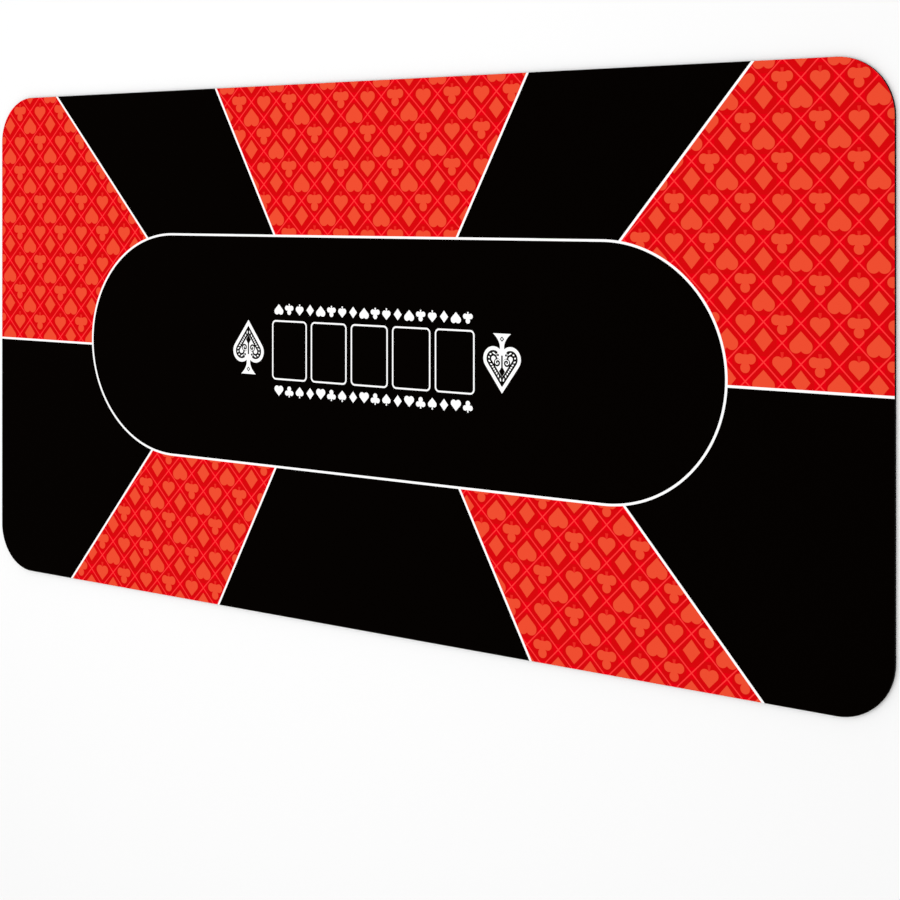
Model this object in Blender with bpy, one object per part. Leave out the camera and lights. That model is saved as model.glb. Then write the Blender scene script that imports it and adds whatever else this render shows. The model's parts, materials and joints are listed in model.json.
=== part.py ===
"""Roll-up poker mat: a printed cloth face on a rubber-foam base, laid flat with its face up.

Units are metres. +X runs along the mat, +Y across it and +Z up out of the playing face.
The origin is on the underside, in the middle of the mat.

The real mat is one flexible sheet. Here it is cut across its length into narrow strips, each with
a cloth layer on a foam layer, hinged one to the next at the playing face so that it rolls up with
its face inside. Strip 01 is at the +X end and stays put, and the rest roll over on to it.
"""

import math

import bmesh
import bpy

MAT_LENGTH = 1.800
MAT_WIDTH = 0.900
MAT_THICKNESS = 0.006
CORNER_RADIUS = 0.083
CLOTH_THICKNESS = 0.0006
GLUE_GAP = 0.0003

STRIP_COUNT = 30
STRIP_GAP = 0.0003
STRIP_PITCH = MAT_LENGTH / STRIP_COUNT

# Rolled up, the face follows a spiral that starts at ROLL_RADIUS and closes in by ROLL_PITCH a turn.
ROLL_RADIUS = 0.138
ROLL_PITCH = 0.018

# Facets on each corner's arc.
CORNER_STEPS = 16

CLOTH_BOTTOM = MAT_THICKNESS - CLOTH_THICKNESS
FOAM_TOP = CLOTH_BOTTOM - GLUE_GAP

CLOTH_RED = (0.30, 0.01, 0.01)
FOAM_BLACK = (0.012, 0.012, 0.012)


def clear_scene():
    for obj in list(bpy.data.objects):
        bpy.data.objects.remove(obj, do_unlink=True)


def finish(name, color, roughness):
    """A Principled material in one plain colour."""
    material = bpy.data.materials.new(name)
    material.use_nodes = True
    shader = material.node_tree.nodes["Principled BSDF"]
    shader.inputs["Base Color"].default_value = (*color, 1.0)
    shader.inputs["Roughness"].default_value = roughness
    shader.inputs["Metallic"].default_value = 0.0
    return material


def half_width(x):
    """Half of the mat's width at x: constant, then falling along the corner's arc."""
    into_corner = abs(x) - (MAT_LENGTH / 2 - CORNER_RADIUS)
    if into_corner <= 0:
        return MAT_WIDTH / 2
    drop = CORNER_RADIUS - math.sqrt(max(CORNER_RADIUS**2 - into_corner**2, 0.0))
    return MAT_WIDTH / 2 - drop


def edge_stations(low, high):
    """The x values between low and high where the strip's outline needs a point."""
    middle_of_arc = MAT_LENGTH / 2 - CORNER_RADIUS
    angles = [math.pi / 2 * n / CORNER_STEPS for n in range(CORNER_STEPS + 1)]
    on_arc = [middle_of_arc + CORNER_RADIUS * math.sin(angle) for angle in angles]
    inside = [x for sign in (-1, 1) for x in (sign * place for place in on_arc) if low < x < high]
    return [low, *sorted(inside), high]


def strip_ends(number):
    """The x of a strip's low and high side, with half a gap taken off each side that has a neighbour."""
    high = MAT_LENGTH / 2 - (number - 1) * STRIP_PITCH
    low = high - STRIP_PITCH
    if number > 1:
        high -= STRIP_GAP / 2
    if number < STRIP_COUNT:
        low += STRIP_GAP / 2
    return low, high


def roll_limit(number):
    """How far this strip's hinge turns when the mat is rolled up: strip pitch over the spiral's radius."""
    along = (number - 2) * STRIP_PITCH
    radius = math.sqrt(ROLL_RADIUS**2 - ROLL_PITCH * along / math.pi)
    return STRIP_PITCH / radius


def slab_mesh(name, number, bottom, top):
    """The strip's outline between two heights, as a closed mesh."""
    stations = edge_stations(*strip_ends(number))
    outline = [(x, -half_width(x)) for x in stations]
    outline += [(x, half_width(x)) for x in reversed(stations)]
    shape = bmesh.new()
    face = shape.faces.new([shape.verts.new((x, y, bottom)) for x, y in outline])
    raised = bmesh.ops.extrude_face_region(shape, geom=[face])["geom"]
    corners = [part for part in raised if isinstance(part, bmesh.types.BMVert)]
    bmesh.ops.translate(shape, verts=corners, vec=(0.0, 0.0, top - bottom))
    bmesh.ops.recalc_face_normals(shape, faces=shape.faces)
    mesh = bpy.data.meshes.new(name)
    shape.to_mesh(mesh)
    shape.free()
    return mesh


def add_layer(name, number, bottom, top, material, hinge):
    """One layer of a strip, with its origin on the strip's hinge."""
    place = hinge.matrix_world.translation
    mesh = slab_mesh(name, number, bottom, top)
    for vertex in mesh.vertices:
        vertex.co -= place
    mesh.materials.append(material)
    layer = bpy.data.objects.new(name, mesh)
    bpy.context.collection.objects.link(layer)
    layer.parent = hinge
    return layer


def add_hinge(number, carrier):
    """An empty on the hinge line, at the level of the playing face, carried by the strip before it."""
    hinge = bpy.data.objects.new(f"hinge_{number:02d}", None)
    bpy.context.collection.objects.link(hinge)
    hinge.empty_display_size = STRIP_PITCH / 2
    if carrier is None:
        hinge.location = (MAT_LENGTH / 2, 0.0, MAT_THICKNESS)
    else:
        hinge.parent = carrier
        hinge.location = (-STRIP_PITCH, 0.0, 0.0)
        hinge["roll_limit_deg"] = math.degrees(roll_limit(number))
    bpy.context.view_layer.update()
    return hinge


def build():
    clear_scene()
    cloth = finish("printed_cloth", CLOTH_RED, 0.75)
    foam = finish("black_rubber_foam", FOAM_BLACK, 0.90)
    hinge = None
    for number in range(1, STRIP_COUNT + 1):
        hinge = add_hinge(number, hinge)
        add_layer(f"foam_base_{number:02d}", number, 0.0, FOAM_TOP, foam, hinge)
        add_layer(f"cloth_face_{number:02d}", number, CLOTH_BOTTOM, MAT_THICKNESS, cloth, hinge)


build()
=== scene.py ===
"""Roll-up poker mat: a printed cloth face on a rubber-foam base, on a pale studio floor.

The mat lies flat with its face up. It bends at thirty strips in the frame, so both layers are made
here as one smooth sheet cut halfway along every strip, each length running from its strip to the
next. The print is worked out in millimetres from each point's place on the flat mat, so that it
stays put on the cloth when the mat rolls up.
"""

import json
import math

import bpy
import numpy as np
from bpy.props import FloatProperty, FloatVectorProperty, IntProperty, PointerProperty
from mathutils import Matrix, Vector

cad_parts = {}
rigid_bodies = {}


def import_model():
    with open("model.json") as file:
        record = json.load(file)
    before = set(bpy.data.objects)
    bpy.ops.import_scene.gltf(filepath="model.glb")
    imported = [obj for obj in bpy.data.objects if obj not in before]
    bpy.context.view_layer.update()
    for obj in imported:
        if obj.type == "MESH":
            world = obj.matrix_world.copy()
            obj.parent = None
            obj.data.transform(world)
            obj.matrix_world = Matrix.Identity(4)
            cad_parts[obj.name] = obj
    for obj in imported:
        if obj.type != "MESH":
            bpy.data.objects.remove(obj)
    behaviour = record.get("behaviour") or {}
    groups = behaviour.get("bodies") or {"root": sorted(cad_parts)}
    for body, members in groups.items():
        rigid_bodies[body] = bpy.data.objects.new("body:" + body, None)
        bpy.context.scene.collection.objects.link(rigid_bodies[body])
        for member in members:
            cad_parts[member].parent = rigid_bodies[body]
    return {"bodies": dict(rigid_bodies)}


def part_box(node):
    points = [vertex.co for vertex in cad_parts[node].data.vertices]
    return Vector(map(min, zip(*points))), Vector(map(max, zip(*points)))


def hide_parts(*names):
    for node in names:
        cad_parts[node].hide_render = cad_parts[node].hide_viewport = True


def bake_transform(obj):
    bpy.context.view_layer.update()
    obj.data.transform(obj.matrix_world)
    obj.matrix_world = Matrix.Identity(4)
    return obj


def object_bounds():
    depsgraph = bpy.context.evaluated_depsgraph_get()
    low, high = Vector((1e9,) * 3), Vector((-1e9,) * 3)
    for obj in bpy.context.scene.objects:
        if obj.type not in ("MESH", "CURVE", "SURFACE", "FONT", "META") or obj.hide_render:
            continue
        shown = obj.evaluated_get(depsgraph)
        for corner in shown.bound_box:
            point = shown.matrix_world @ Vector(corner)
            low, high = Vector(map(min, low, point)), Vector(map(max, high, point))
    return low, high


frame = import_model()
CAD_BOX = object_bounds()

bl_info = {
    "name": "Roll-up Poker Mat",
    "version": (1, 0, 0),
    "blender": (4, 5, 0),
    "location": "3D View > Sidebar > Poker Mat",
    "description": "Builds the two layers of a roll-up poker mat, its print and a plain studio",
    "category": "Object",
}

HALF_LENGTH = CAD_BOX[1].x
HALF_WIDTH = CAD_BOX[1].y
FACE_HEIGHT = CAD_BOX[1].z
CLOTH_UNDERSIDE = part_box("cloth_face_01")[0].z
FOAM_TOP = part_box("foam_base_01")[1].z
STRIP_COUNT = sum(name.startswith("strip_") for name in frame["bodies"])
STRIP_PITCH = 2 * HALF_LENGTH / STRIP_COUNT
MM = 0.001

# The mesh attribute that holds each point's place on the flat mat.
PLACE = "place_when_flat"


def linear(hex_colour):
    """An sRGB hex colour as linear red, green and blue."""
    channels = [int(hex_colour[at : at + 2], 16) / 255 for at in (1, 3, 5)]
    return tuple(c / 12.92 if c <= 0.04045 else ((c + 0.055) / 1.055) ** 2.4 for c in channels)


def length(name, default, description):
    """A length setting, in metres."""
    return FloatProperty(
        name=name, description=description, default=default, unit="LENGTH", precision=4
    )


def colour(name, default, description):
    """A colour setting, from its sRGB hex value."""
    return FloatVectorProperty(
        name=name, description=description, default=linear(default), subtype="COLOR", min=0.0, max=1.0
    )


class MatSizes(bpy.types.PropertyGroup):
    """Shape of the mat's two layers"""

    corner_radius: length("Corner radius", 0.083, "Radius of the mat's four corners")
    edge_round: length("Edge rounding", 0.00025, "How far the cut edges are rounded over")
    steps_along: IntProperty(
        name="Steps along", description="Grid steps along each bending length", default=16, min=4
    )
    steps_across: IntProperty(
        name="Steps across", description="Grid steps across the mat", default=24, min=4
    )


class PrintSizes(bpy.types.PropertyGroup):
    """Sizes in the print"""

    line: length("Line", 0.0038, "Width of the white lines between the places and round the middle")
    oval_straight: length("Oval straight", 0.888, "Straight part of the line round the middle")
    oval_end: length("Oval end", 0.205, "How far its rounded ends reach past the straight part")
    oval_half_height: length("Oval half height", 0.19615, "From its middle to its straight lines")
    box_line: length("Box line", 0.0028, "Width of the lines of the card boxes")
    box_width: length("Box width", 0.0744, "Width of a card box, between line centres")
    box_height: length("Box height", 0.0985, "Height of a card box, between line centres")
    box_pitch: length("Box pitch", 0.0859, "From one card box to the next")
    box_round: length("Box corner", 0.007, "Corner radius of a card box")
    trellis_pitch: length("Trellis pitch", 0.0566, "From one crossing of the trellis to the next")
    trellis_line: length("Trellis line", 0.0018, "Width of the trellis lines on the red places")
    row_pitch: length("Row pitch", 0.0231, "From one suit symbol to the next in the two rows")
    emblem_border: length("Emblem border", 0.006, "Width of the white border of the two spades")
    emblem_band: length("Emblem band", 0.009, "Width of the beaded band inside the border")


class PrintColours(bpy.types.PropertyGroup):
    """Colours of the print and the foam"""

    black: colour("Black", "#030100", "Ground of the black places and of the middle")
    white: colour("White", "#FFFFFF", "Lines, card boxes, spades and rows of symbols")
    red: colour("Red", "#E60010", "Ground of the red places")
    shade: colour("Shade", "#D7070C", "Darker red round each symbol of the pattern")
    symbol: colour("Symbol", "#EE4D30", "Suit symbols of the pattern")
    stem: colour("Stem", "#E82A22", "Faint stems of the pattern's spades and clubs")
    trellis: colour("Trellis", "#FF3A38", "Thin trellis lines of the pattern")
    foam: colour("Foam", "#070707", "Rubber foam under the cloth")


class StudioSettings(bpy.types.PropertyGroup):
    """Floor and lights"""

    floor_colour: colour("Floor", "#FBFBFB", "Colour of the floor")
    floor_radius: length("Floor radius", 60.0, "Radius of the round floor")
    sky_strength: FloatProperty(
        name="Sky strength", description="Strength of the even light from all round", default=0.74
    )
    box_light: FloatProperty(
        name="Overhead light", description="Power of the light box above the mat",
        default=50.0, unit="POWER",
    )


def add_node(tree, kind, inputs=(), **settings):
    """Adds a node with its settings, then links or sets its inputs, by place or by name."""
    node = tree.nodes.new(kind)
    for name, value in settings.items():
        setattr(node, name, value)
    for socket, value in inputs.items() if isinstance(inputs, dict) else enumerate(inputs):
        if isinstance(value, bpy.types.NodeSocket):
            tree.links.new(value, node.inputs[socket])
        else:
            node.inputs[socket].default_value = value
    return node


def work_out(tree, values, steps, kind="ShaderNodeMath"):
    """Adds the steps of a formula. Each step is its result's name, an operation and its inputs."""
    for name, operation, *inputs in steps:
        known = [values[word] if isinstance(word, str) else word for word in inputs]
        values[name] = add_node(tree, kind, known, operation=operation).outputs[0]


def squares(name, first, second):
    """Steps for the sum of two values' squares."""
    return [(name, "MULTIPLY", first, first), (name, "MULTIPLY_ADD", second, second, name)]


def apart(name, value, middle):
    """Steps for how far a value is from a middle, on either side."""
    return [(name, "SUBTRACT", value, middle), (name, "ABSOLUTE", name)]


def either(name, mask, inside, elsewhere):
    """Steps for one value where a mask is 1 and another where it is 0."""
    return [
        ("difference", "SUBTRACT", inside, elsewhere),
        (name, "MULTIPLY_ADD", mask, "difference", elsewhere),
    ]


def new_material(name):
    """An empty material with a Principled shader on its output, and that shader."""
    material = bpy.data.materials.new(name)
    material.use_nodes = True
    material.node_tree.nodes.clear()
    shader = add_node(material.node_tree, "ShaderNodeBsdfPrincipled")
    add_node(material.node_tree, "ShaderNodeOutputMaterial", {"Surface": shader.outputs["BSDF"]})
    return material, shader


# The print. Places and sizes are in millimetres from the middle of the mat, and a mask is 1 inside
# its shape and 0 outside.

# The lines between the players' places, above and below the side lines: x + lean * y = foot.
LINES_ABOVE = ((0.9115, -334.62), (0.5358, -96.47), (-0.5252, 77.04), (-0.8445, 311.75))
LINES_BELOW = ((-0.8210, -334.24), (-0.5287, -93.14), (0.5339, 78.58), (0.8847, 309.76))
SIDE_LINE_Y = -9.8
OVAL_MIDDLE = (1.65, -1.7)


def places_and_lines(tree, at, sizes):
    """Red places and white lines.

    The oval has half an ellipse at each end of its straight part, so it is the set of points at one
    distance from a straight spine once the ends are drawn in to half circles. Along the mat the
    places change between black and red at every line, so the colour is the alternating sum of
    "past this line", taken the other way round above the side lines.
    """
    half = sizes.line / MM / 2
    half_height = sizes.oval_half_height / MM
    work_out(tree, at, [
        *apart("past spine", "x", OVAL_MIDDLE[0]),
        ("past spine", "SUBTRACT", "past spine", sizes.oval_straight / MM / 2),
        ("past spine", "MAXIMUM", "past spine", 0.0),
        ("past spine", "MULTIPLY", "past spine", sizes.oval_half_height / sizes.oval_end),
        ("above middle", "SUBTRACT", "y", OVAL_MIDDLE[1]),
        *squares("from spine", "past spine", "above middle"),
        ("from spine", "SQRT", "from spine"),
        ("outside", "GREATER_THAN", "from spine", half_height),
        ("oval line", "COMPARE", "from spine", half_height, half),
        ("upper", "GREATER_THAN", "y", SIDE_LINE_Y),
        ("side line", "COMPARE", "y", SIDE_LINE_Y, half),
    ])
    for side, lines in (("above", LINES_ABOVE), ("below", LINES_BELOW)):
        red, drawn = "red " + side, "drawn " + side
        at[red], at[drawn] = 0.0, 0.0
        for number, (lean, foot) in enumerate(lines):
            work_out(tree, at, [
                ("leant", "MULTIPLY_ADD", "y", lean, "x"),
                ("past", "GREATER_THAN", "leant", foot),
                ("line", "COMPARE", "leant", foot, half * math.hypot(1, lean)),
                (red, "MULTIPLY_ADD", "past", (-1.0) ** number, red),
                (drawn, "MAXIMUM", "line", drawn),
            ])
    work_out(tree, at, [
        ("red above", "SUBTRACT", 1.0, "red above"),
        *either("red", "upper", "red above", "red below"),
        ("red", "MULTIPLY", "red", "outside"),
        ("black", "SUBTRACT", 1.0, "red"),
        *either("drawn", "upper", "drawn above", "drawn below"),
        ("drawn", "MAXIMUM", "drawn", "side line"),
        ("drawn", "MULTIPLY", "drawn", "outside"),
        ("white", "MAXIMUM", "drawn", "oval line"),
    ])


BOX_MIDDLE = (3.85, 0.65)
BOXES_EACH_SIDE = 2


def card_boxes(tree, at, sizes):
    """Outlines of five card boxes: points at the corner radius from a smaller rectangle."""
    pitch, corner = sizes.box_pitch / MM, sizes.box_round / MM
    work_out(tree, at, [
        ("box", "MULTIPLY_ADD", "x", 1 / pitch, -BOX_MIDDLE[0] / pitch),
        ("nearest", "ROUND", "box"),
        ("nearest", "MINIMUM", "nearest", BOXES_EACH_SIDE),
        ("nearest", "MAXIMUM", "nearest", -BOXES_EACH_SIDE),
        *apart("box", "box", "nearest"),
        ("box", "MULTIPLY_ADD", "box", pitch, corner - sizes.box_width / MM / 2),
        ("box", "MAXIMUM", "box", 0.0),
        *apart("box up", "y", BOX_MIDDLE[1]),
        ("box up", "ADD", "box up", corner - sizes.box_height / MM / 2),
        ("box up", "MAXIMUM", "box up", 0.0),
        *squares("box", "box", "box up"),
        ("box", "SQRT", "box"),
        ("box", "COMPARE", "box", corner, sizes.box_line / MM / 2),
        ("white", "MAXIMUM", "white", "box"),
    ])


# The suits' numbers, and how near a point's number has to be to count.
SUIT_STEP = 0.25
HEART, CLUB, SPADE, DIAMOND = (SUIT_STEP * place for place in range(4))
SAME_SUIT = 0.1
# A crossing of the trellis, and how far the darker square round a symbol reaches.
TRELLIS_START = (0.8, -1.0)
SHADE_REACH = 20.0
# The middle between the two rows, how far each is from it, and how far its symbols can reach.
ROW_MIDDLE = (5.0, 0.6)
ROW_FROM_MIDDLE = 69.4
ROW_REACH = 12.0
ROW_SYMBOLS = 18
# Suit symbols are drawn once, at the pattern's size, and the rows show them this much smaller.
ROW_SHRINK = 1.75
# In the rows, red suits are moved down and black suits up so that all stand level.
ROW_RED_DROP, ROW_BLACK_LIFT = -2.5, 3.5


def trellis_and_rows(tree, at, sizes):
    """Each point's place within its suit symbol, which symbol it is, and the trellis lines.

    On the red places the mat is divided along both diagonals: the whole parts of the two diagonal
    counts tell the suit, and the rest tell the place in the cell. Symbols there are upside down.
    The two rows in the middle take the suits in turn, and the upper row is upside down.
    """
    pitch, row_pitch = sizes.trellis_pitch / MM, sizes.row_pitch / MM
    # From one trellis line to the next is half a diagonal of a pitch, or pitch / sqrt(2).
    line_from_middle = 0.5 - sizes.trellis_line / MM / 2 / (pitch / math.sqrt(2))
    work_out(tree, at, [
        ("across", "MULTIPLY_ADD", "x", 1 / pitch, -TRELLIS_START[0] / pitch),
        ("up", "MULTIPLY_ADD", "y", 1 / pitch, -TRELLIS_START[1] / pitch),
        ("first", "ADD", "across", "up"),
        ("second", "SUBTRACT", "across", "up"),
        ("first whole", "FLOOR", "first"),
        ("second whole", "FLOOR", "second"),
        # An odd first count adds two steps of the suits' numbers, and an odd second count adds one.
        ("suit", "MULTIPLY", "first whole", 0.5),
        ("suit", "FRACT", "suit"),
        ("suit more", "MULTIPLY", "second whole", 0.5),
        ("suit more", "FRACT", "suit more"),
        ("suit", "MULTIPLY_ADD", "suit more", 0.5, "suit"),
        ("first", "SUBTRACT", "first", "first whole"),
        ("first", "SUBTRACT", "first", 0.5),
        ("second", "SUBTRACT", "second", "second whole"),
        ("second", "SUBTRACT", "second", 0.5),
        ("cell x", "ADD", "first", "second"),
        ("cell x", "MULTIPLY", "cell x", pitch / 2),
        ("cell y", "SUBTRACT", "second", "first"),
        ("cell y", "MULTIPLY", "cell y", pitch / 2),
        ("first", "ABSOLUTE", "first"),
        ("second", "ABSOLUTE", "second"),
        ("trellis", "MAXIMUM", "first", "second"),
        ("trellis", "GREATER_THAN", "trellis", line_from_middle),
        ("shade", "ABSOLUTE", "cell x"),
        ("shade up", "ABSOLUTE", "cell y"),
        ("shade", "MAXIMUM", "shade", "shade up"),
        ("shade", "LESS_THAN", "shade", SHADE_REACH),
        ("row", "MULTIPLY_ADD", "x", 1 / row_pitch, ROW_SYMBOLS / 2 - ROW_MIDDLE[0] / row_pitch),
        ("row whole", "FLOOR", "row"),
        ("in row", "COMPARE", "row", ROW_SYMBOLS / 2, ROW_SYMBOLS / 2),
        ("row suit", "MULTIPLY", "row whole", SUIT_STEP),
        ("row suit", "FRACT", "row suit"),
        ("row x", "SUBTRACT", "row", "row whole"),
        ("row x", "SUBTRACT", "row x", 0.5),
        ("row x", "MULTIPLY", "row x", row_pitch * ROW_SHRINK),
        *apart("row y", "y", ROW_MIDDLE[1]),
        ("row y", "SUBTRACT", ROW_FROM_MIDDLE, "row y"),
        ("row near", "COMPARE", "row y", 0.0, ROW_REACH),
        ("in row", "MULTIPLY", "in row", "row near"),
        ("in row", "GREATER_THAN", "in row", "outside"),
        ("row y", "MULTIPLY_ADD", "row y", ROW_SHRINK, ROW_RED_DROP),
        ("row black", "COMPARE", "row suit", (CLUB + SPADE) / 2, SUIT_STEP),
        ("row y", "MULTIPLY_ADD", "row black", ROW_BLACK_LIFT, "row y"),
        # Outside the oval the cell's place and suit, and inside it the row's.
        *either("suit x", "outside", "cell x", "row x"),
        *either("suit y", "outside", "cell y", "row y"),
        *either("suit", "outside", "suit", "row suit"),
    ])


# How steeply the flat side of a leaf stops counting below the point where it touches the lobe.
TOUCH_FALL = 10.0


def leaf_depth(tree, at, beside, up, lobe, tip):
    """How deep a point is inside a spade's leaf, for a point beside its axis and up from its middle.

    It is the depth inside the lobe's circle or, where that is more, behind the straight side that
    leaves the tip and touches the circle. The side counts only from where it touches up to the tip.
    """
    lobe_x, lobe_y, radius = lobe
    rise = tip - lobe_y
    slope = math.atan2(lobe_x, rise) + math.asin(radius / math.hypot(lobe_x, rise))
    out_x, out_y = math.cos(slope), math.sin(slope)
    work_out(tree, at, [
        ("lobe x", "SUBTRACT", beside, lobe_x),
        ("lobe y", "SUBTRACT", up, lobe_y),
        *squares("in lobe", "lobe x", "lobe y"),
        ("in lobe", "SQRT", "in lobe"),
        ("in lobe", "SUBTRACT", radius, "in lobe"),
        ("touch", "MULTIPLY", "lobe x", -out_y),
        ("touch", "MULTIPLY_ADD", "lobe y", out_x, "touch"),
        ("touch", "MINIMUM", "touch", "lobe y"),
        ("touch", "MULTIPLY", "touch", TOUCH_FALL),
        ("behind side", "MULTIPLY_ADD", beside, -out_x, tip * out_y),
        ("behind side", "MULTIPLY_ADD", up, -out_y, "behind side"),
        ("behind side", "MINIMUM", "behind side", "touch"),
        ("depth", "MAXIMUM", "in lobe", "behind side"),
    ])


# The heart's lobe centre and radius, and its tip, about its own middle. The spade is the same leaf
# made smaller by this share.
HEART_LOBE, HEART_TIP = (7.65, -5.9, 9.6), 15.5
SPADE_SMALLER = 0.14
# Heights of the middles of the heart and the spade in the symbol's cell.
HEART_MIDDLE, SPADE_MIDDLE = -2.0, 4.0
# The club's lobe radius, how far its side lobes are from the axis, and the lobes' heights.
CLUB_LOBE, CLUB_SPREAD, CLUB_LOW, CLUB_HIGH = 7.5, 8.9, -3.4, 9.2
# The wedge that fills the club between its lobes: its half width at height 0, how fast that falls
# upwards, and the wedge's middle and half height.
WEDGE_WIDTH, WEDGE_FALL, WEDGE_MIDDLE, WEDGE_HALF_HEIGHT = 7.0, 0.35, 0.3, 9.9
# Half width, half height and middle of the diamond.
DIAMOND_WIDE, DIAMOND_HIGH, DIAMOND_MIDDLE = 14.2, 16.7, -3.1
# The stem's half width at height 0, how fast that falls upwards, and where the stem ends.
STEM_WIDTH, STEM_FALL, STEM_END = 0.3, 0.15, -15.5


def suit_symbols(tree, at):
    """Masks of the four suits, upright about their middle, and of the stems of the black ones.

    A spade is a leaf, and a heart is a larger one upside down. A club is three discs with a wedge
    between them. A diamond is where |x| over its width + |y| over its height is under 1.
    """
    work_out(tree, at, [
        ("beside", "ABSOLUTE", "suit x"),
        ("heart", "COMPARE", "suit", HEART, SAME_SUIT),
        ("club", "COMPARE", "suit", CLUB, SAME_SUIT),
        ("spade", "COMPARE", "suit", SPADE, SAME_SUIT),
        ("diamond", "COMPARE", "suit", DIAMOND, SAME_SUIT),
        ("size", "MULTIPLY_ADD", "spade", -SPADE_SMALLER, 1.0),
        ("wide", "DIVIDE", "beside", "size"),
        ("high", "MULTIPLY_ADD", "spade", HEART_MIDDLE - SPADE_MIDDLE, -HEART_MIDDLE),
        ("high", "ADD", "suit y", "high"),
        ("high", "DIVIDE", "high", "size"),
        ("turned", "MULTIPLY_ADD", "spade", 2.0, -1.0),
        ("high", "MULTIPLY", "high", "turned"),
    ])
    leaf_depth(tree, at, "wide", "high", HEART_LOBE, HEART_TIP)
    work_out(tree, at, [
        ("leaf", "GREATER_THAN", "depth", 0.0),
        ("leaf suit", "ADD", "heart", "spade"),
        ("leaf", "MULTIPLY", "leaf", "leaf suit"),
        ("lobe x", "SUBTRACT", "beside", CLUB_SPREAD),
        ("lobe y", "SUBTRACT", "suit y", CLUB_LOW),
        *squares("low lobe", "lobe x", "lobe y"),
        ("lobe y", "SUBTRACT", "suit y", CLUB_HIGH),
        *squares("high lobe", "beside", "lobe y"),
        ("lobe", "MINIMUM", "low lobe", "high lobe"),
        ("clover", "LESS_THAN", "lobe", CLUB_LOBE**2),
        ("wedge", "MULTIPLY_ADD", "suit y", -WEDGE_FALL, WEDGE_WIDTH),
        ("wedge", "LESS_THAN", "beside", "wedge"),
        ("between", "COMPARE", "suit y", WEDGE_MIDDLE, WEDGE_HALF_HEIGHT),
        ("wedge", "MULTIPLY", "wedge", "between"),
        ("clover", "MAXIMUM", "clover", "wedge"),
        ("clover", "MULTIPLY", "clover", "club"),
        *apart("lozenge", "suit y", DIAMOND_MIDDLE),
        ("lozenge", "MULTIPLY_ADD", "lozenge", DIAMOND_WIDE / DIAMOND_HIGH, "beside"),
        ("lozenge", "LESS_THAN", "lozenge", DIAMOND_WIDE),
        ("lozenge", "MULTIPLY", "lozenge", "diamond"),
        ("body", "MAXIMUM", "leaf", "clover"),
        ("body", "MAXIMUM", "body", "lozenge"),
        # The stem widens downwards.
        ("stem", "MULTIPLY_ADD", "suit y", -STEM_FALL, STEM_WIDTH),
        ("stem", "LESS_THAN", "beside", "stem"),
        ("above end", "GREATER_THAN", "suit y", STEM_END),
        ("stem", "MULTIPLY", "stem", "above end"),
        ("black suit", "ADD", "club", "spade"),
        ("stem", "MULTIPLY", "stem", "black suit"),
        ("row mark", "MAXIMUM", "body", "stem"),
        ("row mark", "MULTIPLY", "row mark", "in row"),
        ("white", "MAXIMUM", "white", "row mark"),
    ])


# The middle between the two ornamental spades, and how far each is from it. The rest is about a
# spade's own middle: its lobe centre and radius, its tip, and half the gap at the band's bottom.
EMBLEM_MIDDLE = (2.6, 2.3)
EMBLEM_FROM_MIDDLE = 263.35
EMBLEM_LOBE, EMBLEM_TIP = (16.0, -6.8, 19.1), 47.0
BAND_OPENING = 8.5
# The foot is as wide as the neck from its top to where it flares, and widens with the square of the
# way from there to its end.
NECK_HALF_WIDTH, FOOT_FLARE = 4.0, 12.8
NECK_TOP, FLARE_TOP, FOOT_END = -15.0, -25.0, -46.0
BEADS, BEAD_RADIUS = 28, 1.5
# A scroll is dark where its sine is over the threshold, and winds by this much a millimetre.
SCROLL_MIDDLE, SCROLL_REACH = (8.6, -0.8), 6.6
SCROLL_WINDING, SCROLL_THRESHOLD = 1.35, -0.3
STALK_HALF_WIDTH, STALK_MIDDLE, STALK_HALF_HEIGHT = 1.4, -1.0, 11.0
LOZENGE_MIDDLE, LOZENGE_HALF_WIDTH, LOZENGE_SQUAT = 13.0, 5.6, 0.65
DOT_MIDDLE, DOT_RADIUS = (7.4, -12.5), 1.79
GEM_MIDDLE, GEM_REACH, GEM_HALF_LINE = -37.5, 3.1, 1.1


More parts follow.
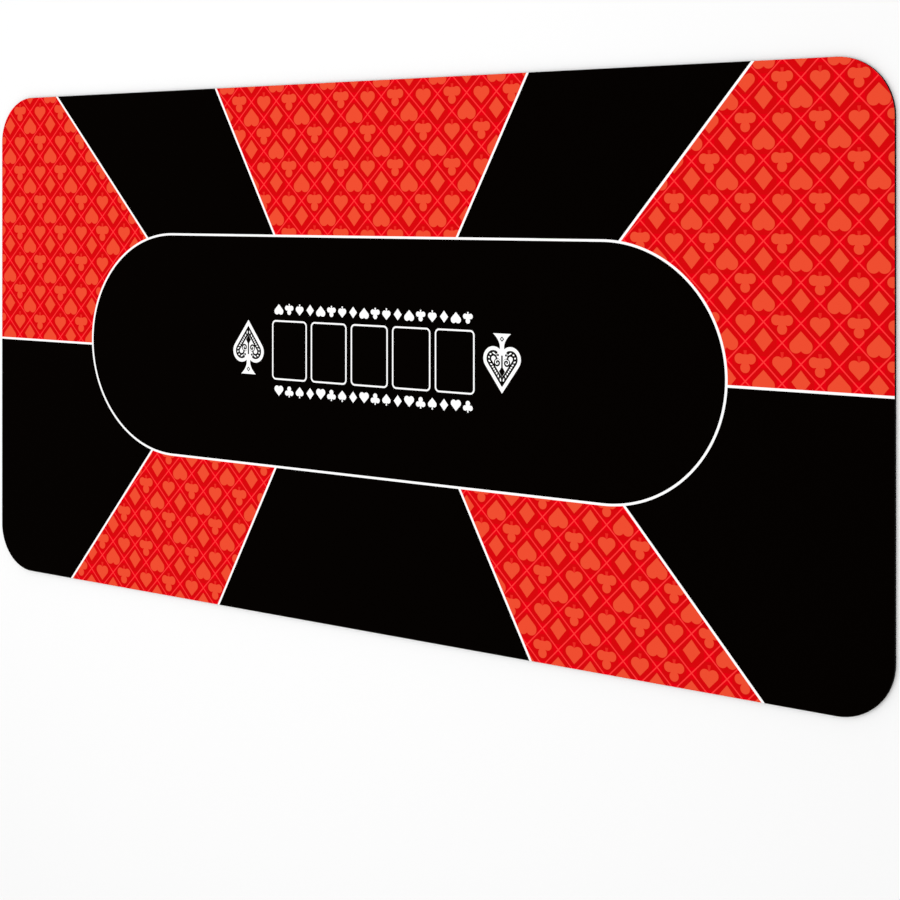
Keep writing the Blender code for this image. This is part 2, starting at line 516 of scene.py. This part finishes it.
def spades(tree, at, sizes):
    """The two ornamental spades at the ends of the middle, the right one upside down.

    Border, band and inner spade are ranges of the depth inside the leaf, and the beads stand in the
    middle of the band at equal turns round the spade. Inside, a scroll winds on each side where the
    sine of turn + distance from its middle is high, below a lozenge and beside a stalk.
    """
    border, band = sizes.emblem_border / MM, sizes.emblem_band / MM
    flare_height = FLARE_TOP - FOOT_END
    work_out(tree, at, [
        ("side", "SIGN", "x"),
        ("turned y", "SUBTRACT", EMBLEM_MIDDLE[1], "y"),
        ("turned y", "MULTIPLY", "turned y", "side"),
        *apart("off axis", "x", EMBLEM_MIDDLE[0]),
        *apart("off axis", "off axis", EMBLEM_FROM_MIDDLE),
    ])
    leaf_depth(tree, at, "off axis", "turned y", EMBLEM_LOBE, EMBLEM_TIP)
    work_out(tree, at, [
        ("emblem", "GREATER_THAN", "depth", 0.0),
        ("foot", "MULTIPLY_ADD", "turned y", -1 / flare_height, FLARE_TOP / flare_height),
        ("foot", "MAXIMUM", "foot", 0.0),
        ("foot", "MULTIPLY", "foot", "foot"),
        ("foot", "MULTIPLY_ADD", "foot", FOOT_FLARE, NECK_HALF_WIDTH),
        ("foot", "LESS_THAN", "off axis", "foot"),
        ("span", "COMPARE", "turned y", (FOOT_END + NECK_TOP) / 2, (NECK_TOP - FOOT_END) / 2),
        ("foot", "MULTIPLY", "foot", "span"),
        ("emblem", "MAXIMUM", "emblem", "foot"),
        ("band", "COMPARE", "depth", border + band / 2, band / 2),
        # The band stops short of the axis below the middle.
        ("open", "MAXIMUM", "off axis", "turned y"),
        ("open", "GREATER_THAN", "open", BAND_OPENING),
        ("band", "MULTIPLY", "band", "open"),
        ("turn", "ARCTAN2", "off axis", "turned y"),
        ("turn", "MULTIPLY", "turn", BEADS / math.tau),
        ("turn", "FRACT", "turn"),
        ("turn", "SUBTRACT", "turn", 0.5),
        *squares("around", "turned y", "off axis"),
        ("around", "SQRT", "around"),
        ("around", "MULTIPLY", "around", math.tau / BEADS),
        ("around", "MULTIPLY", "around", "turn"),
        ("bead", "SUBTRACT", "depth", border + band / 2),
        *squares("bead", "bead", "around"),
        ("bead", "LESS_THAN", "bead", BEAD_RADIUS**2),
        ("dark", "SUBTRACT", "band", "bead"),
        ("beside scroll", "SUBTRACT", "off axis", SCROLL_MIDDLE[0]),
        ("above scroll", "SUBTRACT", "turned y", SCROLL_MIDDLE[1]),
        ("scroll", "ARCTAN2", "above scroll", "beside scroll"),
        *squares("from scroll", "above scroll", "beside scroll"),
        ("from scroll", "SQRT", "from scroll"),
        ("scroll", "MULTIPLY_ADD", "from scroll", SCROLL_WINDING, "scroll"),
        ("scroll", "SINE", "scroll"),
        ("scroll", "GREATER_THAN", "scroll", SCROLL_THRESHOLD),
        ("in scroll", "LESS_THAN", "from scroll", SCROLL_REACH),
        ("scroll", "MULTIPLY", "scroll", "in scroll"),
        ("dark", "MAXIMUM", "dark", "scroll"),
        ("stalk", "LESS_THAN", "off axis", STALK_HALF_WIDTH),
        ("span", "COMPARE", "turned y", STALK_MIDDLE, STALK_HALF_HEIGHT),
        ("stalk", "MULTIPLY", "stalk", "span"),
        ("dark", "MAXIMUM", "dark", "stalk"),
        *apart("top", "turned y", LOZENGE_MIDDLE),
        ("top", "MULTIPLY_ADD", "top", LOZENGE_SQUAT, "off axis"),
        ("top", "LESS_THAN", "top", LOZENGE_HALF_WIDTH),
        ("dark", "MAXIMUM", "dark", "top"),
        # A dot on each side of the neck, and a small open lozenge in the foot.
        ("dot x", "SUBTRACT", "off axis", DOT_MIDDLE[0]),
        ("dot y", "SUBTRACT", "turned y", DOT_MIDDLE[1]),
        *squares("dot", "dot x", "dot y"),
        ("dot", "LESS_THAN", "dot", DOT_RADIUS**2),
        ("dark", "MAXIMUM", "dark", "dot"),
        *apart("gem", "turned y", GEM_MIDDLE),
        ("gem", "ADD", "gem", "off axis"),
        ("gem", "COMPARE", "gem", GEM_REACH, GEM_HALF_LINE),
        ("dark", "MAXIMUM", "dark", "gem"),
        ("emblem", "SUBTRACT", "emblem", "dark"),
        ("white", "MAXIMUM", "white", "emblem"),
    ])


def place_in_mm(tree):
    """Each point's place on the flat mat in millimetres, whole and as x, y and z."""
    at = {"place": add_node(tree, "ShaderNodeAttribute", attribute_name=PLACE).outputs["Vector"]}
    work_out(tree, at, [("place", "MULTIPLY", "place", (1 / MM,) * 3)], "ShaderNodeVectorMath")
    parts = add_node(tree, "ShaderNodeSeparateXYZ", [at["place"]])
    return {**at, **dict(zip("xyz", parts.outputs))}


# Threads are 0.3 mm apart, and are drawn 1.2 mm apart so that they show from close by.
THREAD_SPACING = 1.2
# The foam's cells are about 0.3 mm across, and are drawn 0.9 mm across for the same reason.
CELL_SIZE = 0.9
# The underside's grain has ribs 1.5 mm apart, drawn 3 mm apart, on all that is below this height.
RIB_SPACING = 3.0
RIB_SHARE = 0.8
UNDERSIDE_HEIGHT = 0.1


def printed_polyester(sizes, colours):
    """Polyester cloth with a dye-sublimation print.

    It is knitted smooth and matt, so it scatters light evenly, keeps its black deep and shows only
    a faint thread. The dye sits in the threads, so the print has no gloss of its own.
    """
    material, shader = new_material("dye-printed polyester")
    tree = material.node_tree
    at = place_in_mm(tree)
    places_and_lines(tree, at, sizes)
    trellis_and_rows(tree, at, sizes)
    suit_symbols(tree, at)
    card_boxes(tree, at, sizes)
    spades(tree, at, sizes)
    painted = (*colours.red, 1.0)
    for mask, over in (
        ("shade", colours.shade),
        ("stem", colours.stem),
        ("body", colours.symbol),
        ("trellis", colours.trellis),
        ("black", colours.black),
        ("white", colours.white),
    ):
        # A Mix node takes its two colours at inputs 6 and 7, and gives the mixed one at output 2.
        painted = add_node(
            tree, "ShaderNodeMix", {0: at[mask], 6: painted, 7: (*over, 1.0)}, data_type="RGBA"
        ).outputs[2]
    tree.links.new(painted, shader.inputs["Base Color"])
    threads = add_node(
        tree, "ShaderNodeTexVoronoi",
        {"Vector": at["place"], "Scale": 1 / THREAD_SPACING, "Randomness": 0.35},
    )
    raised = add_node(
        tree, "ShaderNodeBump",
        {"Strength": 0.35, "Distance": 0.15 * MM, "Height": threads.outputs["Distance"]},
    )
    tree.links.new(raised.outputs["Normal"], shader.inputs["Normal"])
    shader.inputs["Roughness"].default_value = 0.88
    shader.inputs["Specular IOR Level"].default_value = 0.01
    return material


def rubber_foam(colours):
    """Black natural-rubber foam, die-cut, with a fine non-slip grain moulded into its underside.

    The cut opens the cells, so the edge is finely pitted and dead matt.
    """
    material, shader = new_material("natural-rubber foam")
    tree = material.node_tree
    at = place_in_mm(tree)
    cells = add_node(tree, "ShaderNodeTexVoronoi", {"Vector": at["place"], "Scale": 1 / CELL_SIZE})
    at["cells"] = cells.outputs["Distance"]
    work_out(tree, at, [
        ("rib x", "MULTIPLY", "x", math.tau / RIB_SPACING),
        ("rib x", "SINE", "rib x"),
        ("rib y", "MULTIPLY", "y", math.tau / RIB_SPACING),
        ("rib y", "SINE", "rib y"),
        ("grain", "MULTIPLY", "rib x", "rib y"),
        ("underside", "LESS_THAN", "z", UNDERSIDE_HEIGHT),
        ("grain", "MULTIPLY", "grain", "underside"),
        ("relief", "MULTIPLY_ADD", "grain", RIB_SHARE, "cells"),
    ])
    raised = add_node(
        tree, "ShaderNodeBump", {"Strength": 0.5, "Distance": 0.3 * MM, "Height": at["relief"]}
    )
    tree.links.new(raised.outputs["Normal"], shader.inputs["Normal"])
    shader.inputs["Base Color"].default_value = (*colours.foam, 1.0)
    shader.inputs["Roughness"].default_value = 0.82
    shader.inputs["Specular IOR Level"].default_value = 0.1
    return material


# Grid steps round a quarter of a rounded edge, and along the straight between a corner and the next
# bending length.
EDGE_STEPS = 4
STRAIGHT_STEPS = 3
# Faces that meet at more than this are shaded apart.
SHARP_ANGLE = math.radians(40)


def half_width(x, corner):
    """Half of the mat's width at x: constant, then falling along the corner's quarter circle."""
    into = np.clip(np.abs(x) - (HALF_LENGTH - corner), 0.0, corner)
    return HALF_WIDTH - corner + np.sqrt(np.maximum(corner**2 - into**2, 0.0))


def stations(high, low, sizes):
    """Places along the mat from high to low.

    They are evenly spaced, and round a corner they stand at even turns of its quarter circle. The
    last few before the mat's end stand at even turns of its rounded edge.
    """
    count = sizes.steps_along + 1
    corner, soft = sizes.corner_radius, sizes.edge_round
    turned = np.sin(np.linspace(0.0, math.pi / 2, count))
    arc = HALF_LENGTH - corner + (corner - soft) * turned
    edge_turned = np.sin(np.linspace(0.0, math.pi / 2, EDGE_STEPS + 1)[1:])
    tip = HALF_LENGTH - soft + soft * edge_turned
    if high >= HALF_LENGTH:
        straight = np.linspace(arc[0], low, STRAIGHT_STEPS + 1)
        return np.concatenate([tip[::-1], arc[::-1], straight[1:]])
    if low <= -HALF_LENGTH:
        straight = np.linspace(high, -arc[0], STRAIGHT_STEPS + 1)
        return np.concatenate([straight[:-1], -arc, -tip])
    return np.linspace(high, low, count)


def layer_mesh(name, high, low, bottom, top, sizes):
    """One bending length of a layer, as a closed tube of cross-sections.

    A cross-section is a rounded rectangle: across it runs y = share * (half width - inset) at a
    height z, with the share from -1 to 1 over the top and back underneath, and the inset and height
    following a quarter circle at each of its four edges. At the mat's end the height is squeezed
    by the same quarter circle. Each end is closed by a grid of quads.
    """
    soft, steps = sizes.edge_round, sizes.steps_across
    x = stations(high, low, sizes)
    turn = np.linspace(0.0, math.pi / 2, EDGE_STEPS + 1)
    rim_inset = soft * (1 - np.sin(turn))
    rim_drop = soft * (1 - np.cos(turn))
    over_top = np.linspace(-1.0, 1.0, steps + 1)
    rim = np.ones(2 * EDGE_STEPS)
    flat = np.ones(steps + 1)
    share = np.concatenate([over_top, rim, over_top[::-1], -rim])
    inset = np.concatenate([soft * flat, rim_inset[1:], rim_inset[:0:-1]] * 2)
    height = np.concatenate([
        top * flat, top - rim_drop[1:], bottom + rim_drop[:0:-1],
        bottom * flat, bottom + rim_drop[1:], top - rim_drop[:0:-1],
    ])
    y = share * (half_width(x, sizes.corner_radius)[:, None] - inset)
    past = np.clip((np.abs(x) - (HALF_LENGTH - soft)) / soft, 0.0, 1.0)
    squeeze = (soft * (1 - np.sqrt(1 - past**2)))[:, None]
    z = np.clip(height[None, :], bottom + squeeze, top - squeeze)
    points = np.stack(np.broadcast_arrays(x[:, None], y, z), axis=-1).reshape(-1, 3)
    rows, around = len(x), len(share)
    index = np.arange(rows * around).reshape(rows, around)
    here, there = index[:-1], index[1:]
    next_here, next_there = np.roll(here, -1, axis=1), np.roll(there, -1, axis=1)
    walls = np.stack([here, next_here, next_there, there], axis=-1).reshape(-1, 4)
    # A cap joins each point over the top to the one below it, from one side to the other.
    over = np.arange(-EDGE_STEPS, steps + EDGE_STEPS + 1)
    below = (2 * steps + 1 + 2 * EDGE_STEPS - over) % around
    over = over % around
    caps = []
    for ring, flip in ((index[0], -1), (index[-1], 1)):
        cap = [ring[over[:-1]], ring[over[1:]], ring[below[1:]], ring[below[:-1]]]
        caps.append(np.stack(cap, axis=-1)[:, ::flip])
    faces = np.concatenate([walls, *caps])
    mesh = bpy.data.meshes.new(name)
    mesh.from_pydata(points.tolist(), [], faces.tolist())
    mesh.validate()
    mesh.shade_smooth()
    mesh.set_sharp_from_angle(angle=SHARP_ANGLE)
    flat_place = mesh.attributes.new(PLACE, "FLOAT_VECTOR", "POINT")
    flat_place.data.foreach_set("vector", points.ravel())
    return mesh


def add_layer(layer, bottom, top, material):
    """Makes all the bending lengths of a layer, and returns them with their ends.

    A length runs from the middle of one strip to the middle of the next, and the first and last
    run on to the mat's ends.
    """
    made = []
    for number in range(1, STRIP_COUNT):
        start = HALF_LENGTH - (number - 0.5) * STRIP_PITCH
        end = start - STRIP_PITCH
        high = HALF_LENGTH if number == 1 else start
        low = -HALF_LENGTH if number == STRIP_COUNT - 1 else end
        name = f"{layer}_length_{number:02d}"
        mesh = layer_mesh(name, high, low, bottom, top, bpy.context.scene.mat_sizes)
        mesh.materials.append(material)
        piece = bpy.data.objects.new(name, mesh)
        bpy.context.scene.collection.objects.link(piece)
        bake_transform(piece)
        stood_for = [number, STRIP_COUNT] if number == STRIP_COUNT - 1 else [number]
        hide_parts(*(f"{layer}_{strip:02d}" for strip in stood_for))
        made.append((piece, high, low))
    return made


class MatFoam(bpy.types.Operator):
    """Makes the rubber-foam base"""

    bl_idname = "poker_mat.foam_base"
    bl_label = "Foam Base"

    def execute(self, context):
        material = rubber_foam(context.scene.mat_colours)
        add_layer("foam_base", 0.0, FOAM_TOP, material)
        return {"FINISHED"}


class MatCloth(bpy.types.Operator):
    """Makes the printed cloth face on the foam base"""

    bl_idname = "poker_mat.cloth_face"
    bl_label = "Printed Cloth Face"

    def execute(self, context):
        scene = context.scene
        material = printed_polyester(scene.mat_print, scene.mat_colours)
        lengths = add_layer("cloth_face", CLOTH_UNDERSIDE, FACE_HEIGHT, material)
        return {"FINISHED"}


# The camera looks down on the face from beyond the mat's right end.
CAMERA_PLACE = Vector((1.807, 0.251, 2.277))
CAMERA_RIGHT = Vector((0.8107, 0.0, -0.5855))
CAMERA_UP = Vector((0.0, 1.0, 0.0))
CAMERA_LENS = 70.97
CAMERA_SHIFT = -0.275
CAMERA_RANGE = (0.05, 500.0)
# The floor is a many-sided disc just under the mat.
FLOOR_SIDES = 96
FLOOR_DROP = 0.2 * MM
LIGHT_BOX_SIZE = (4.0, 3.0)
LIGHT_BOX_PLACE = (-0.4, 0.3, 3.5)


class MatStage(bpy.types.Operator):
    """Makes the floor, the lights and the camera"""

    bl_idname = "poker_mat.stage"
    bl_label = "Studio"

    def execute(self, context):
        scene = context.scene
        studio = scene.mat_studio
        paint, shader = new_material("matt floor paint")
        shader.inputs["Base Color"].default_value = (*studio.floor_colour, 1.0)
        shader.inputs["Roughness"].default_value = 0.9
        shader.inputs["Specular IOR Level"].default_value = 0.1
        turn = np.linspace(0.0, math.tau, FLOOR_SIDES, endpoint=False)
        rim = studio.floor_radius * np.stack([np.cos(turn), np.sin(turn), 0 * turn], axis=-1)
        rim[:, 2] = -FLOOR_DROP
        mesh = bpy.data.meshes.new("floor")
        mesh.from_pydata(rim.tolist(), [], [list(range(FLOOR_SIDES))])
        mesh.materials.append(paint)
        floor = bpy.data.objects.new("floor", mesh)
        lamp = bpy.data.lights.new("overhead_light", "AREA")
        lamp.shape = "RECTANGLE"
        lamp.size, lamp.size_y = LIGHT_BOX_SIZE
        lamp.energy = studio.box_light
        overhead = bpy.data.objects.new("overhead_light", lamp)
        overhead.location = LIGHT_BOX_PLACE
        lens = bpy.data.cameras.new("camera")
        lens.lens, lens.shift_y = CAMERA_LENS, CAMERA_SHIFT
        lens.clip_start, lens.clip_end = CAMERA_RANGE
        camera = bpy.data.objects.new("camera", lens)
        back = CAMERA_RIGHT.cross(CAMERA_UP)
        turned = Matrix((CAMERA_RIGHT, CAMERA_UP, back)).transposed().to_4x4()
        camera.matrix_world = Matrix.Translation(CAMERA_PLACE) @ turned
        for thing in (floor, overhead, camera):
            scene.collection.objects.link(thing)
        scene.camera = camera
        world = bpy.data.worlds.new("even light")
        world.use_nodes = True
        sky = world.node_tree.nodes["Background"]
        sky.inputs["Color"].default_value = (1.0, 1.0, 1.0, 1.0)
        sky.inputs["Strength"].default_value = studio.sky_strength
        scene.world = world
        scene.view_settings.view_transform = "Standard"
        return {"FINISHED"}


PIECES = (MatFoam, MatCloth, MatStage)
SETTINGS = {
    "mat_sizes": MatSizes,
    "mat_print": PrintSizes,
    "mat_colours": PrintColours,
    "mat_studio": StudioSettings,
}


class MatPanel(bpy.types.Panel):
    """Lists the mat's pieces, sizes and colours"""

    bl_idname = "VIEW3D_PT_poker_mat"
    bl_label = "Roll-up Poker Mat"
    bl_space_type = "VIEW_3D"
    bl_region_type = "UI"
    bl_category = "Poker Mat"

    def draw(self, context):
        for operator in PIECES:
            self.layout.operator(operator.bl_idname)
        for group in SETTINGS:
            box = self.layout.box()
            values = getattr(context.scene, group)
            for name in values.__annotations__:
                box.prop(values, name)


def register():
    for kind in (*SETTINGS.values(), *PIECES, MatPanel):
        bpy.utils.register_class(kind)
    for name, kind in SETTINGS.items():
        setattr(bpy.types.Scene, name, PointerProperty(type=kind))


def unregister():
    for name in SETTINGS:
        delattr(bpy.types.Scene, name)
    for kind in (MatPanel, *PIECES, *SETTINGS.values()):
        bpy.utils.unregister_class(kind)


def main():
    register()
    bpy.ops.poker_mat.foam_base()
    bpy.ops.poker_mat.cloth_face()
    bpy.ops.poker_mat.stage()


if __name__ == "__main__":
    main()
